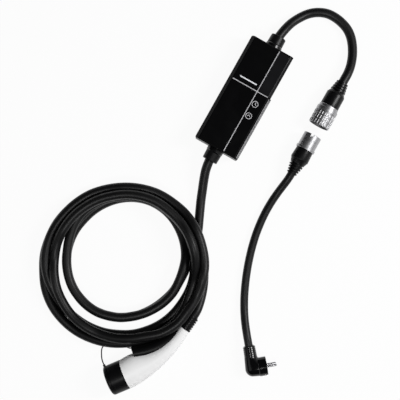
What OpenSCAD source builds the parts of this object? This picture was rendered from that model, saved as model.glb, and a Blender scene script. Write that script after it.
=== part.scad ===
// Portable electric vehicle charger, lying flat as it is laid out for a product picture.
// A control box has a supply lead with a screw coupler at one end and a coiled charging cable at the other.
// The cable ends in a seven-contact vehicle connector, and a loose adapter lead carries the mains plug.

/* [Control box] */
// Width across the box
box_w = 92; // [88:1:96]
// Length of the box without its glands
box_l = 222; // [214:1:240]
// Height from the back to the front face
box_h = 50; // [48:1:56]
// Width of the bevel along the long front edges
bevel_w = 7; // [6:0.5:8]
// Height of that bevel
bevel_h = 9; // [7:0.5:11]
// Bevel around the back and along the short front edges
edge_bevel = 2; // [2:0.5:3]
// Radius of the upright corners
corner_r = 3; // [3:0.5:5]
// How far the upper part of the right side is set back
side_step = 2; // [1:0.5:2.5]
// Wall of both covers
wall = 3.5; // [3:0.5:4]
// Thickness of the front wall, panels included
front_t = 5; // [4.5:0.5:6]
// Height of the seam between the covers
seam_z = 30; // [28:1:32]
// Height of the seal in the seam
seal_h = 1.2; // [1:0.1:1.6]
// Width of that seal
seal_w = 1.4; // [1.2:0.1:1.6]

/* [Front face] */
// Thickness of the glossy panels
panel_t = 1.6; // [1.4:0.1:2]
// Play between panels, trims and their pocket
panel_gap = 0.15; // [0.1:0.05:0.25]
// Rim of the front cover left beside the panels
rim = 1; // [0.8:0.1:1.5]
// Width of the silver front trim
trim_w = 1.6; // [1.2:0.1:2.2]
// How far the trim stands out of the face
trim_proud = 0.2; // [0.1:0.05:0.4]
// Place of the long trim across the face
trim_x = 15; // [12:0.5:17]
// Place of the cross trim along the face
trim_y = 21; // [16:1:26]
// Width of each of the two silver lines along the right edge
side_trim_w = 1.1; // [0.9:0.1:1.3]
// Distance of those lines from each other and from the edge
side_trim_gap = 1; // [0.8:0.1:1.2]
// Length of the light bar
bar_l = 36; // [30:1:40]
// Width of the light bar
bar_w = 2.2; // [2:0.1:3]
// Distance of the light bar from the cross trim
bar_rise = 10.6; // [9:0.2:11]
// Place of the light bar's middle across the face
bar_x = -10; // [-11:0.5:-9]
// Radius of the two touch keys
key_r = 7.2; // [6:0.2:8]
// Distance from the cross trim to the first key
key_drop = 23; // [20:1:26]
// Distance between the keys
key_pitch = 25; // [22:1:30]

/* [Inside the box] */
// Thickness of the circuit boards
board_t = 1.6; // [1.2:0.2:2]
// Height of the power board above the back
board_z = 10; // [8:1:11]
// Width of the power board
board_w = 62; // [56:1:62]
// Length of the power board
board_l = 170; // [164:2:172]
// Display module: width
lcd_w = 40; // [36:1:42]
// Display module: length
lcd_l = 62; // [54:1:64]
// Display module: thickness
lcd_t = 4; // [3:0.5:5]
// Radius of the screw bosses
boss_r = 4; // [3.6:0.2:4.4]
// Radius of the cover screws
screw_r = 1.5; // [1.25:0.05:1.6]
// Play around the cover screws
screw_gap = 0.15; // [0.1:0.05:0.25]
// Height of a relay
relay_h = 16; // [14:1:18]
// Radius of one insulated conductor
wire_r = 1.8; // [1.5:0.1:1.9]

/* [Cable glands] */
// Length of a gland outside the box
gland_l = 25; // [23:1:30]
// Radius of the gland's collar
collar_r = 16.4; // [15.5:0.2:17]
// Length of the collar
collar_l = 8; // [7:0.5:9]
// Radius of the sleeve at the collar
sleeve_r1 = 15.6; // [15:0.2:16]
// Radius of the sleeve at its end
sleeve_r2 = 15; // [14:0.2:15.4]
// Radius of the neck that the covers clamp
neck_r = 12; // [11.5:0.1:12.5]

/* [Cables] */
// Radius of the charging cable and the supply lead
cable_r = 9; // [8.5:0.1:9]
// Radius of the adapter lead
lead_r = 7.75; // [7:0.05:7.75]
// Play of a cable in its bore
cable_gap = 0.2; // [0.1:0.05:0.4]
// Radius of the cap tether
tether_r = 1.2; // [1:0.1:1.2]

/* [Coupler] */
// Outer radius of the knurled coupling nut
nut_r = 21; // [20.5:0.25:22]
// Length of the nut with its rear neck
nut_l = 42; // [40:1:44]
// Length of that neck
nut_neck_l = 5; // [4:0.5:6]
// Radius of that neck
nut_neck_r = 19.2; // [18.8:0.1:19.6]
// Radius of the nut's open front bore
nut_bore_r = 19; // [18.6:0.1:19.2]
// Number of knurled bands
nut_bands = 4; // [3:1:5]
// Number of flutes around the nut
nut_flutes = 24; // [18:1:28]
// Radius of the metal barrel that carries the nut
barrel_r = 16; // [15.8:0.1:16.2]
// Running play between nut and barrel
nut_gap = 0.3; // [0.2:0.05:0.4]
// Radius of the moulded body behind the nut
mould_r = 18.4; // [18:0.1:18.8]
// Length of that body
mould_l = 31; // [28:1:33]
// Length of the ribbed strain relief
relief_l = 21; // [18:1:24]

/* [Adapter coupler] */
// Outer radius of the silver shell
shell_r = 17.6; // [17.2:0.1:17.8]
// Wall of the silver shell
shell_wall = 2; // [1.8:0.1:2.1]
// Length of the silver shell
shell_l = 32; // [30:1:34]
// Radius of its rear flange
shell_flange_r = 19; // [18.5:0.25:20]
// Depth of the pin face behind the shell's front
pin_face = 17.5; // [17:0.5:18.5]
// Gap between nut and shell as they lie
couple_gap = 22; // [20:1:26]

/* [Mains plug] */
// Radius of the plug's face
plug_r = 18.5; // [18:0.25:19]
// Depth of the round front
plug_disc = 17; // [15:1:18]
// Radius of a plug pin
pin_r = 2.4; // [2.3:0.05:2.5]
// Length of a plug pin outside the face
pin_l = 19; // [17:0.5:20]
// Distance between the pins
pin_pitch = 19; // [17:0.5:20]
// Distance of the cable entry from the pin axis
entry_l = 43; // [40:1:46]

/* [Vehicle connector] */
// Outer radius of the protective cap
cap_r = 29; // [28.9:0.1:30]
// Length of the cap
cap_l = 35; // [34:0.5:38]
// Wall of the cap
cap_wall = 2; // [1.8:0.1:2.2]
// Radius of the contact carrier
nose_r = 25.7; // [25.2:0.1:25.8]
// Length of the carrier in front of the shell
nose_l = 30; // [28:0.5:31]
// Wall of the white shell
handle_wall = 2.6; // [2.4:0.1:2.7]
// Outer radius of a power contact
power_r = 3.9; // [3.5:0.1:4]
// Outer radius of a signal contact
signal_r = 2.4; // [2.2:0.1:2.6]
// Depth of the black grip, measured into the handle
grip_depth = 24; // [22:1:26]
// Half of the grip's height at its front
grip_h = 18; // [16:0.5:19]

/* [Coil] */
// Outer radius of the wide band of turns
coil_r = 153; // [149:1:153]
// Width of that band
coil_w = 31; // [29:1:35]
// Height of the stacked turns
coil_h = 37; // [36:1:40]
// Mean radius of the inner turns
loop_r = 115; // [112:1:117]

/* [Hidden] */

$fn = 64;
tiny = 0.01;
over = 1;

// Control box
boss_sink = 0.8;
face_x = box_w / 2 - bevel_w;
panel_z = box_h - panel_t;
inner_z = box_h - front_t;
panel_y = box_l / 2 - edge_bevel - rim;
gland_z = box_h / 2;
boss_x = box_w / 2 - wall - boss_r + boss_sink;
boss_y = box_l / 2 - wall - boss_r - rim;
boss_at = [for (x = [-boss_x, boss_x], y = [-boss_y, 0, boss_y]) [x, y]];
head_r = 2 * screw_r;
head_h = 2.4;
pilot_depth = 9;
board_top = board_z + board_t;
post_r = 2.5;
post_in = 4;
lcd_at = [(trim_x - face_x) / 2, (trim_y + bar_rise + panel_y) / 2];
lcd_lip = 3;
bar_at = [bar_x, trim_y + bar_rise];
control_z = inner_z - lcd_t;
control_y0 = bar_at.y - 8;
control_y1 = lcd_at.y + lcd_l / 2;
key_margin = 0.4;
key_x = trim_x + trim_w / 2 + panel_gap + key_r + key_margin;
key_at = [[key_x, trim_y - key_drop], [key_x, trim_y - key_drop - key_pitch]];
relay_size = [16, 29, relay_h];
relay_at = [for (x = [-1, 1], y = [-1, 1]) [x * relay_size.x, y * (relay_size.y / 2 + 3)]];
sensor_r = 12;
sensor_h = 12;
sensor_hole = 5;
sensor_y = relay_size.y + 3 + sensor_r + 10;
coil_block = [24, 22, 18];
coil_block_at = [-14, sensor_y];
capacitor_r = 6;
capacitor_h = 20;
capacitor_at = [for (y = [-1, 1]) [14, sensor_y + y * (capacitor_r + 1)]];
terminal = [30, 12, 22];
terminal_y = board_l / 2 - terminal.y / 2 - 2;
wire_ring = 4.4;
wire_hole = wire_ring + wire_r + 0.6;
flange_r = neck_r + 3;
flange_t = 3;
cable_stop = 4;
bore_r = cable_r + cable_gap;
lead_bore_r = lead_r + cable_gap;

// Coupler and adapter, on one axis parallel to the box
couple_x = 150;
nut_y = 68;
couple_z = nut_r + 0.2;
adapter_y = nut_y - nut_l - couple_gap;
nut_flange = nut_neck_l + 1.5;
clip_t = 1.5;
barrel_tail_r = 12;
barrel_tail_l = 14;
nose_sleeve_r = shell_r - shell_wall - 0.6;
nose_sleeve_l = nut_l - 7;
insert_r = nose_sleeve_r - 1.6;
contact_ring = 8.2;
contact_r = 1.9;
contact_bore_r = 1.4;
pin_thin_r = 1.2;
contact_at = concat([[0, 0]], [for (k = [0:5]) contact_ring * [cos(60 * k), sin(60 * k)]]);
relief_ribs = 6;

// Mains plug
plug_at = [290, -426];
plug_turn = 39.3;
plug_z = plug_r + 0.1;
entry_x = -27.5;
entry_r1 = 12.6;
entry_r2 = 10.4;
entry_rib_l = 22;
pin_root = 12;
pin_root_r = pin_r * 0.8;
pin_neck = 0.5;
clip_w = 7;
clip_sheet = 1.2;

// Vehicle connector
conn_at = [60, -572];
conn_turn = 52.45;
conn_z = cap_r + 0.1;
handle_front_r = cap_r - 0.5;
carrier_in = 14;
spigot_r = handle_front_r - handle_wall - 1.4;
seal_r = 1;
power_at = [[0.5, 0], [0.5, 15.5], [0.5, -15.5], [14, 8.5], [14, -8.5]];
signal_at = [[-13.5, 8.5], [-13.5, -8.5]];
handle_sides = 32;
// Each row: inner edge, outer edge and half height of one cross-section of the handle
handle_rows = [
    [0, handle_front_r, 0, -handle_front_r, handle_front_r],
    [14, 30.5, 17, -27.5, 27.5],
    [28, 30.5, 36, -24, 25.5],
    [48, 25, 60, -17.5, 23],
    [70, 23, 85, -8, 21],
    [95, 27, 108, 3, 18.5],
    [118, 35.5, 127, 14, 15.5],
    [133.5, 44, 144, 26.8, 13]];
neck_row = handle_rows[7];
neck_at = [(neck_row[0] + neck_row[2]) / 2, (neck_row[1] + neck_row[3]) / 2];
neck_turn = atan2(neck_row[2] - neck_row[0], neck_row[1] - neck_row[3]);
conn_boot_r1 = 12.2;
conn_boot_r2 = 10.2;
conn_boot_l = 30;
conn_boot_ribs = 6;
shell_screw_rows = [3, 4, 5];
shell_boss_r = 3.6;
shell_screw_r = 1.4;
shell_screw_head = 2.6;
grip_x0 = 31;
grip_x1 = 127;
grip_gap = 0.15;
coil_clear = 3.5;
lug_r = 2.4;
lug_x = -32;
lug_z = -8;
lug_y = cap_r + 2.5;

// Coil
coil_at = [-45, -392];
loop_at = [-49, -379];
// The coil's middle as the connector sees it
coil_seen = [
    (coil_at - conn_at) * [cos(conn_turn), sin(conn_turn)],
    (coil_at - conn_at) * [-sin(conn_turn), cos(conn_turn)]];

function unit(v) = v / norm(v);

// Outer edge of the grip, just clear of the coil
function grip_edge(x) = coil_seen.y - sqrt(pow(coil_r + coil_clear, 2) - pow(x - coil_seen.x, 2));

// Points seen from the connector, its neck and the plug, in the part's own frame
function turned_by(a, p) = [p.x * cos(a) - p.y * sin(a), p.x * sin(a) + p.y * cos(a), p.z];
function from_connector(p) = [conn_at.x, conn_at.y, conn_z] + turned_by(conn_turn, p);
function from_neck(t) =
    from_connector([neck_at.x + t * cos(neck_turn), neck_at.y + t * sin(neck_turn), 0]);
function from_plug(y) = [plug_at.x, plug_at.y, plug_z] + turned_by(plug_turn, [entry_x, y, 0]);

// Routes of the cables: their ends follow the pieces that hold them
lay_z = cable_r + 0.2;
lead_z = lead_r + 0.2;
gland_in = [cable_stop + 2, gland_l / 2 + 4, gland_l + 2];
boot_y = nut_y + mould_l + relief_l;
boot_end = adapter_y - shell_l - mould_l - relief_l;
grip_tip = grip_edge(grip_x0) - 3.3;
supply_route = concat(
    [for (t = gland_in) [0, box_l / 2 + t, gland_z]],
    [[3, 156, 22], [8, 174, 16.5], [17, 192, 11.5], [28, 207, lay_z], [42, 218, lay_z], [59, 225, lay_z],
        [77, 226, lay_z], [94, 223, lay_z], [109, 217, lay_z], [122, 207, lay_z], [133, 193, 10],
        [142, 176, 12.2], [148, 157, 15.8]],
    [[couple_x, boot_y + 21, 19.4], [couple_x, boot_y + 8, couple_z], [couple_x, boot_y - 6, couple_z],
        [couple_x, nut_y + barrel_tail_l + 6, couple_z]]);
run_route = concat(
    [for (t = gland_in) [0, -box_l / 2 - t, gland_z]],
    [[3, -156, 21.5], [9, -174, 16.5], [16, -192, 12], [23, -210, 9.8], [30, -226, lay_z],
        [38, -244, lay_z], [46, -262, lay_z], [52, -277, lay_z]]);
tail_route = concat(
    [for (t = [6, conn_boot_l / 2, conn_boot_l + 2]) from_neck(t)],
    [[119.8, -395, 26.4], [116.5, -377, 20.2], [111, -359, 14.2], [103.5, -341.5, 10.5], [94, -325, lay_z]]);
adapter_route = concat(
    [[couple_x, adapter_y - shell_l - barrel_tail_l - 6, couple_z], [couple_x, boot_end + 12, couple_z],
        [couple_x, boot_end - 2, couple_z]],
    [[148.4, -96, 18.6], [145, -112, 13.4], [141.8, -130, 9.2], [140, -151, lead_z], [141, -174, lead_z],
        [144, -198, lead_z], [149, -222, lead_z], [155, -248, lead_z], [163, -275, lead_z],
        [174, -302, lead_z], [187, -328, lead_z], [200, -350, 8.6], [212, -369, 11.4]],
    [from_plug(entry_l + 34) - [0, 0, 3.4], from_plug(entry_l + 21) - [0, 0, 0.8],
        from_plug(entry_l + 9), from_plug(entry_l - 4), from_plug(entry_l - entry_rib_l - 2)]);
tether_route = concat(
    [from_connector([lug_x, lug_y + 0.05, lug_z]), from_connector([lug_x, lug_y + 4, lug_z])],
    [[7, -571.5, 17.5], [2, -566, 10], [-2, -560, 3.5], [-3.5, -554.5, 1.5], [-1.5, -549.5, 1.3],
        [4.5, -546, 1.3], [13, -541.5, 1.3], [22, -537, 2.2], [31, -532.5, 5.5], [39, -529, 11]],
    [for (x = [grip_x0 - 4, grip_x0 - 0.05]) from_connector([x, grip_tip, lug_z - 1])]);

// Tangent of a route at one of its points
function heading(route, i) =
    unit(route[min(i + 1, len(route) - 1)] - route[max(i - 1, 0)]);

// One ring of a tube, upright across the route
function tube_ring(route, i, r, sides) =
    let (t = heading(route, i), s = unit(cross(t, [0, 0, 1])), u = cross(s, t))
    [for (k = [0:sides - 1]) route[i] + r * (cos(360 * k / sides) * s + sin(360 * k / sides) * u)];

// Closed skin over a list of equal rings
module skin(rings) {
    n = len(rings[0]);
    last = len(rings) - 1;
    points = [for (ring = rings) each ring];
    sides = [for (i = [0:last - 1], k = [0:n - 1])
        [i * n + k, i * n + (k + 1) % n, (i + 1) * n + (k + 1) % n, (i + 1) * n + k]];
    caps = [[for (k = [n - 1:-1:0]) k], [for (k = [0:n - 1]) last * n + k]];
    polyhedron(points, concat(sides, caps));
}

module tube(route, r, sides = 12) {
    skin([for (i = [0:len(route) - 1]) tube_ring(route, i, r, sides)]);
}

module turned(profile) {
    rotate_extrude($fn = 96) polygon(profile);
}

// Smooth curve through rows of numbers
function between(a, b, c, d, t) =
    0.5 * (2 * b + (c - a) * t + (2 * a - 5 * b + 4 * c - d) * t * t + (3 * b - a - 3 * c + d) * t * t * t);
function smooth(rows, parts) =
    let (last = len(rows) - 1)
    concat(
        [for (i = [0:last - 1], j = [0:parts - 1])
            between(rows[max(i - 1, 0)], rows[i], rows[i + 1], rows[min(i + 2, last)], j / parts)],
        [rows[last]]);

// Rounded section between two edges, squarer than an ellipse
function bulge(v) = sign(v) * pow(abs(v), 0.86);
function section_ring(row, inset, sides) =
    let (inner = [row[0], row[1]], outer = [row[2], row[3]],
        middle = (inner + outer) / 2, across = unit(inner - outer),
        half_w = norm(inner - outer) / 2 - inset, half_h = row[4] - inset)
    [for (k = [0:sides - 1])
        let (p = middle + across * half_w * bulge(cos(360 * k / sides)))
        [p.x, p.y, -half_h * bulge(sin(360 * k / sides))]];

// Strain relief with ribs, from z = 0 (thick) to z = length (thin)
module ribbed(length, r1, r2, ribs, groove) {
    pitch = length / ribs;
    steps = [for (k = [0:ribs - 1])
        let (r = r1 + (r2 + groove - r1) * k / ribs)
        each [[r, k * pitch], [r - 0.3, (k + 0.55) * pitch],
            [r - 0.3 - groove, (k + 0.55) * pitch], [r - 0.3 - groove, (k + 1) * pitch]]];
    turned(concat([[0, 0]], steps, [[0, length]]));
}

// Moulded body from r1 at z = 0 over r2 at its shoulder to r3 at z = length
module moulded(length, r1, r2, r3, shoulder) {
    soft = 2.4;
    slope = (length - shoulder) / (r2 - r3);
    turned([[0, 0], [r1 - 0.8, 0], [r1, 0.8], [r2, shoulder - soft],
        for (a = [15:15:75]) [r2 - soft * (1 - cos(a)) / 2, shoulder - soft * (1 - sin(a))],
        [r2 - soft / 2 - soft / 4, shoulder + soft * slope / 4], [r3, length], [0, length]]);
}

module rounded_rect(w, l, r) {
    square([w - 2 * r, l], center = true);
    square([w, l - 2 * r], center = true);
    for (x = [-1, 1], y = [-1, 1])
        translate([x * (w / 2 - r), y * (l / 2 - r)]) circle(r);
}

// Outline of the box from above, moved inwards by inset: its right side is set back above the cross trim
module outline(inset, r) {
    difference() {
        rounded_rect(box_w - 2 * inset, box_l - 2 * inset, r);
        translate([box_w / 2 - side_step - inset, trim_y - inset]) square([box_w, box_l]);
    }
}

// Cross-section of the box, moved inwards by inset on every side
function bevelled(half, inset, front_w, front_h) =
    let (slope = norm([front_w, front_h]), back = edge_bevel + (sqrt(2) - 1) * inset,
        x = half - front_w - inset * (slope - front_w) / front_h,
        z = box_h - front_h - inset * (slope - front_h) / front_w,
        arris = [x, box_h - inset] + rim * [front_w, -front_h] / slope)
    [[half - back, inset], [half - inset, back], [half - inset, z], arris, [x - rim, box_h - inset],
        [rim - x, box_h - inset], [-arris.x, arris.y], [inset - half, z], [inset - half, back],
        [back - half, inset]];

module box_block(inset) {
    intersection() {
        rotate([90, 0, 0]) translate([0, 0, inset - box_l / 2])
            linear_extrude(box_l - 2 * inset) polygon(bevelled(box_w / 2, inset, bevel_w, bevel_h));
        rotate([90, 0, 90]) translate([0, 0, inset - box_w / 2])
            linear_extrude(box_w - 2 * inset) polygon(bevelled(box_l / 2, inset, edge_bevel, edge_bevel));
        linear_extrude(box_h) outline(inset, max(corner_r - inset, 0.5));
    }
}

// Slab that keeps only what lies between two heights
module between_z(z0, z1) {
    translate([-box_w, -box_l, z0]) cube([2 * box_w, 2 * box_l, z1 - z0]);
}

// Straight cut from one corner of the face to another, with play all round
module face_cut(x0, y0, x1, y1, z0, z1, play = 0) {
    translate([x0 - play, y0 - play, z0]) cube([x1 - x0 + 2 * play, y1 - y0 + 2 * play, z1 - z0]);
}

module at_supply_end() { translate([0, box_l / 2, gland_z]) rotate([-90, 0, 0]) children(); }
module at_output_end() { translate([0, -box_l / 2, gland_z]) rotate([90, 0, 0]) children(); }

module gland_holes(r) {
    at_supply_end() translate([0, 0, -wall - over]) cylinder(r = r, h = wall + 2 * over);
    at_output_end() translate([0, 0, -wall - over]) cylinder(r = r, h = wall + 2 * over);
}

// Control box
module seam_ring(play) {
    mid = wall / 2;
    linear_extrude(seal_h + play) difference() {
        outline(mid - seal_w / 2 - play, corner_r - mid + seal_w / 2);
        outline(mid + seal_w / 2 + play, corner_r - mid - seal_w / 2);
    }
}

module seam_seal() {
    color("black") difference() {
        translate([0, 0, seam_z - seal_h]) seam_ring(0);
        gland_holes(neck_r + panel_gap);
    }
}

module rear_cover() {
    color([0.1, 0.1, 0.1]) difference() {
        union() {
            difference() {
                intersection() {
                    box_block(0);
                    between_z(0, seam_z);
                }
                box_block(wall);
            }
            for (p = boss_at) translate([p.x, p.y, wall - tiny])
                cylinder(r = boss_r, h = seam_z - wall + tiny);
            for (x = [-1, 1], y = [-1, 1])
                translate([x * (board_w / 2 - post_in), y * (board_l / 2 - post_in), wall - tiny])
                    cylinder(r = post_r, h = board_z - wall + tiny);
        }
        for (p = boss_at) translate([p.x, p.y, -over]) {
            cylinder(r = screw_r + screw_gap, h = seam_z + 2 * over);
            cylinder(r = head_r + screw_gap, h = over + wall + head_h);
        }
        translate([0, 0, seam_z - seal_h - panel_gap]) seam_ring(panel_gap);
        gland_holes(neck_r + panel_gap);
    }
}

// Corner panel's own skin: it wraps over the right-hand bevel
module corner_skin(depth, play) {
    intersection() {
        difference() {
            box_block(0);
            box_block(depth);
        }
        face_cut(trim_x + trim_w / 2 + panel_gap, trim_y + trim_w / 2 + panel_gap,
            box_w / 2 + over, panel_y, box_h - bevel_h, box_h + over, play);
    }
}

// Two lines let into the lower part of the right-hand bevel
module side_skin(depth, play) {
    intersection() {
        difference() {
            box_block(0);
            box_block(depth);
        }
        for (k = [1, 2]) face_cut(box_w / 2 - k * (side_trim_gap + side_trim_w), -panel_y,
            box_w / 2 - k * (side_trim_gap + side_trim_w) + side_trim_w, trim_y - trim_w,
            box_h - bevel_h, box_h + over, play);
    }
}

module front_cover() {
    color([0.05, 0.05, 0.05]) difference() {
        union() {
            difference() {
                intersection() {
                    box_block(0);
                    between_z(seam_z, box_h + over);
                }
                intersection() {
                    box_block(wall);
                    between_z(0, inner_z);
                }
            }
            intersection() {
                box_block(panel_t + 2 * panel_gap);
                for (p = boss_at) translate([p.x, p.y, seam_z])
                    cylinder(r = boss_r, h = inner_z - seam_z + tiny);
            }
        }
        for (p = boss_at) translate([p.x, p.y, seam_z - over])
            cylinder(r = screw_r + screw_gap, h = over + pilot_depth);
        face_cut(rim - face_x, -panel_y, face_x - rim, panel_y, panel_z, box_h + over, panel_gap);
        corner_skin(panel_t, panel_gap);
        side_skin(panel_t / 2, panel_gap);
        translate([lcd_at.x, lcd_at.y, inner_z - over]) linear_extrude(front_t + over)
            square([lcd_w - 2 * lcd_lip, lcd_l - 2 * lcd_lip], center = true);
        light_slot(panel_gap, inner_z - over);
        gland_holes(neck_r + panel_gap);
    }
}

module light_slot(play, z0) {
    translate([bar_at.x, bar_at.y, z0]) linear_extrude(box_h - z0 + over)
        square([bar_l + 2 * play, bar_w + 2 * play], center = true);
}

module display_window() {
    color([0.03, 0.03, 0.04]) difference() {
        face_cut(rim - face_x, trim_y + trim_w / 2 + panel_gap,
            trim_x - trim_w / 2 - panel_gap, panel_y, panel_z, box_h);
        light_slot(panel_gap, panel_z - over);
    }
}

module main_panel() {
    color([0.02, 0.02, 0.02]) face_cut(rim - face_x, -panel_y, trim_x - trim_w / 2 - panel_gap,
        trim_y - trim_w / 2 - panel_gap, panel_z, box_h);
}

module key_panel() {
    color([0.02, 0.02, 0.02]) difference() {
        face_cut(trim_x + trim_w / 2 + panel_gap, -panel_y, face_x - rim,
            trim_y - trim_w / 2 - panel_gap, panel_z, box_h);
        for (p = key_at) translate([p.x, p.y, panel_z - over])
            cylinder(r = key_r + panel_gap, h = panel_t + 2 * over);
    }
}

module corner_panel() {
    color([0.16, 0.16, 0.17]) corner_skin(panel_t, 0);
}

module front_trim() {
    color("silver") union() {
        face_cut(trim_x - trim_w / 2, -panel_y, trim_x + trim_w / 2, panel_y, panel_z, box_h + trim_proud);
        face_cut(rim - face_x, trim_y - trim_w / 2, face_x - rim, trim_y + trim_w / 2,
            panel_z, box_h + trim_proud);
    }
}

module side_trim() {
    color("silver") side_skin(panel_t / 2, 0);
}

module light_bar() {
    color("white") translate([bar_at.x, bar_at.y, control_z]) linear_extrude(box_h - control_z)
        square([bar_l, bar_w], center = true);
}

module touch_key(p) {
    translate([p.x, p.y, panel_z]) cylinder(r = key_r, h = panel_t);
}

module timer_key() { color([0.03, 0.03, 0.03]) touch_key(key_at[0]); }
module mode_key() { color([0.03, 0.03, 0.03]) touch_key(key_at[1]); }

module display_module() {
    color("darkslategray") translate([lcd_at.x, lcd_at.y, control_z]) linear_extrude(lcd_t)
        square([lcd_w, lcd_l], center = true);
}

module control_board() {
    color("darkgreen") translate([lcd_at.x - lcd_w / 2, control_y0, control_z - board_t])
        cube([lcd_w, control_y1 - control_y0, board_t]);
}

module power_board() {
    color("darkgreen") translate([0, 0, board_z]) linear_extrude(board_t)
        square([board_w, board_l], center = true);
}

module on_board(p, size) {
    translate([p.x, p.y, board_top]) linear_extrude(size.z) square([size.x, size.y], center = true);
}

module relays() {
    color("royalblue") for (p = relay_at) on_board(p, relay_size);
}

module current_sensor() {
    color("black") translate([0, -sensor_y, board_top]) difference() {
        cylinder(r = sensor_r, h = sensor_h);
        translate([0, 0, -over]) cylinder(r = sensor_hole, h = sensor_h + 2 * over);
    }
}

module transformer() { color("goldenrod") on_board(coil_block_at, coil_block); }

module capacitors() {
    color("dimgray") for (p = capacitor_at) translate([p.x, p.y, board_top])
        cylinder(r = capacitor_r, h = capacitor_h);
}

module terminal_blocks() {
    color("gray") for (y = [-terminal_y, terminal_y]) on_board([0, y], terminal);
}

module cover_screws() {
    color("silver") for (p = boss_at) translate([p.x, p.y, wall]) {
        cylinder(r = head_r, h = head_h, $fn = 48);
        cylinder(r = screw_r, h = seam_z - wall + pilot_depth - over, $fn = 48);
    }
}

module wires() {
    wire_l = box_l / 2 + cable_stop + 2 - terminal_y - terminal.y / 2;
    for (k = [0:4]) rotate(72 * k) translate([wire_ring, 0, cable_stop + 2 - wire_l])
        cylinder(r = wire_r, h = wire_l, $fn = 32);
}

module supply_wires() { color("peru") at_supply_end() wires(); }
module output_wires() { color("peru") at_output_end() wires(); }

// Glands: a glossy collar over the neck of a captive rubber sleeve
module gland_collar() {
    turned([[neck_r + panel_gap, 0], [collar_r - 0.5, 0], [collar_r, 0.5], [collar_r, collar_l - 1.5],
        [collar_r - 1, collar_l], [neck_r + panel_gap, collar_l]]);
}

module gland_sleeve() {
    step = collar_l + panel_gap;
    turned([[wire_hole, -wall - flange_t], [flange_r, -wall - flange_t], [flange_r, -wall - panel_gap],
        [neck_r, -wall - panel_gap], [neck_r, step], [sleeve_r1 - 0.6, step], [sleeve_r1, step + 0.6],
        [sleeve_r2, gland_l - 0.9], [sleeve_r2 - 0.9, gland_l], [bore_r, gland_l], [bore_r, cable_stop],
        [wire_hole, cable_stop]]);
}

module supply_collar() { color([0.06, 0.06, 0.06]) at_supply_end() gland_collar(); }
module supply_sleeve() { color([0.1, 0.1, 0.1]) at_supply_end() gland_sleeve(); }
module output_collar() { color([0.06, 0.06, 0.06]) at_output_end() gland_collar(); }
module output_sleeve() { color([0.1, 0.1, 0.1]) at_output_end() gland_sleeve(); }

// Supply lead and its coupler: local z runs from the lead towards the open front
module at_coupler() { translate([couple_x, nut_y, couple_z]) rotate([90, 0, 0]) children(); }

module supply_lead() { color([0.07, 0.07, 0.07]) tube(supply_route, cable_r); }

// Moulded boot: its radii at the metal, the shoulder, the first rib and the cable
module boot_shape(radii, shoulder, bore) {
    difference() {
        union() {
            moulded(mould_l, radii[0], radii[1], radii[2] + 0.4, shoulder);
            translate([0, 0, mould_l - tiny]) ribbed(relief_l, radii[2], radii[3], relief_ribs, 1.9);
        }
        translate([0, 0, -over])
            cylinder(r = barrel_tail_r + cable_gap, h = over + barrel_tail_l + cable_gap);
        translate([0, 0, barrel_tail_l + 4]) cylinder(r = bore, h = mould_l + relief_l);
    }
}

module coupler_boot() {
    color([0.08, 0.08, 0.08]) at_coupler() mirror([0, 0, 1])
        boot_shape([mould_r, mould_r - 1.4, mould_r - 3.6, bore_r + 0.6], mould_l * 0.87, bore_r);
}

module coupler_barrel() {
    clip_z = nut_gap + nut_flange + nut_gap;
    color("lightgray") at_coupler() turned([[0, -barrel_tail_l], [barrel_tail_r, -barrel_tail_l],
        [barrel_tail_r, 0], [barrel_r, 0], [barrel_r, clip_z],
        [barrel_r - 1, clip_z], [barrel_r - 1, clip_z + clip_t], [barrel_r, clip_z + clip_t],
        [barrel_r, clip_z + clip_t + 2], [nose_sleeve_r, clip_z + clip_t + 3],
        [nose_sleeve_r, nose_sleeve_l], [insert_r + cable_gap, nose_sleeve_l],
        [insert_r + cable_gap, 2], [0, 2]]);
}

module nut_clip() {
    clip_z = nut_gap + nut_flange + nut_gap;
    color("gray") at_coupler() turned([[barrel_r - 1, clip_z], [barrel_r + 1.6, clip_z],
        [barrel_r + 1.6, clip_z + clip_t], [barrel_r - 1, clip_z + clip_t]]);
}

module coupler_insert() {
    color([0.12, 0.12, 0.12]) at_coupler() difference() {
        translate([0, 0, 2]) cylinder(r = insert_r, h = nose_sleeve_l - 2.5);
        for (p = contact_at) translate([p.x, p.y, 8]) cylinder(r = contact_r + 0.1, h = nut_l, $fn = 32);
    }
}

module coupler_contacts() {
    color("gold") at_coupler() for (p = contact_at) translate([p.x, p.y, 8]) difference() {
        cylinder(r = contact_r, h = nose_sleeve_l - 9.5, $fn = 32);
        translate([0, 0, 3]) cylinder(r = contact_bore_r, h = nut_l, $fn = 32);
    }
}

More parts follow.
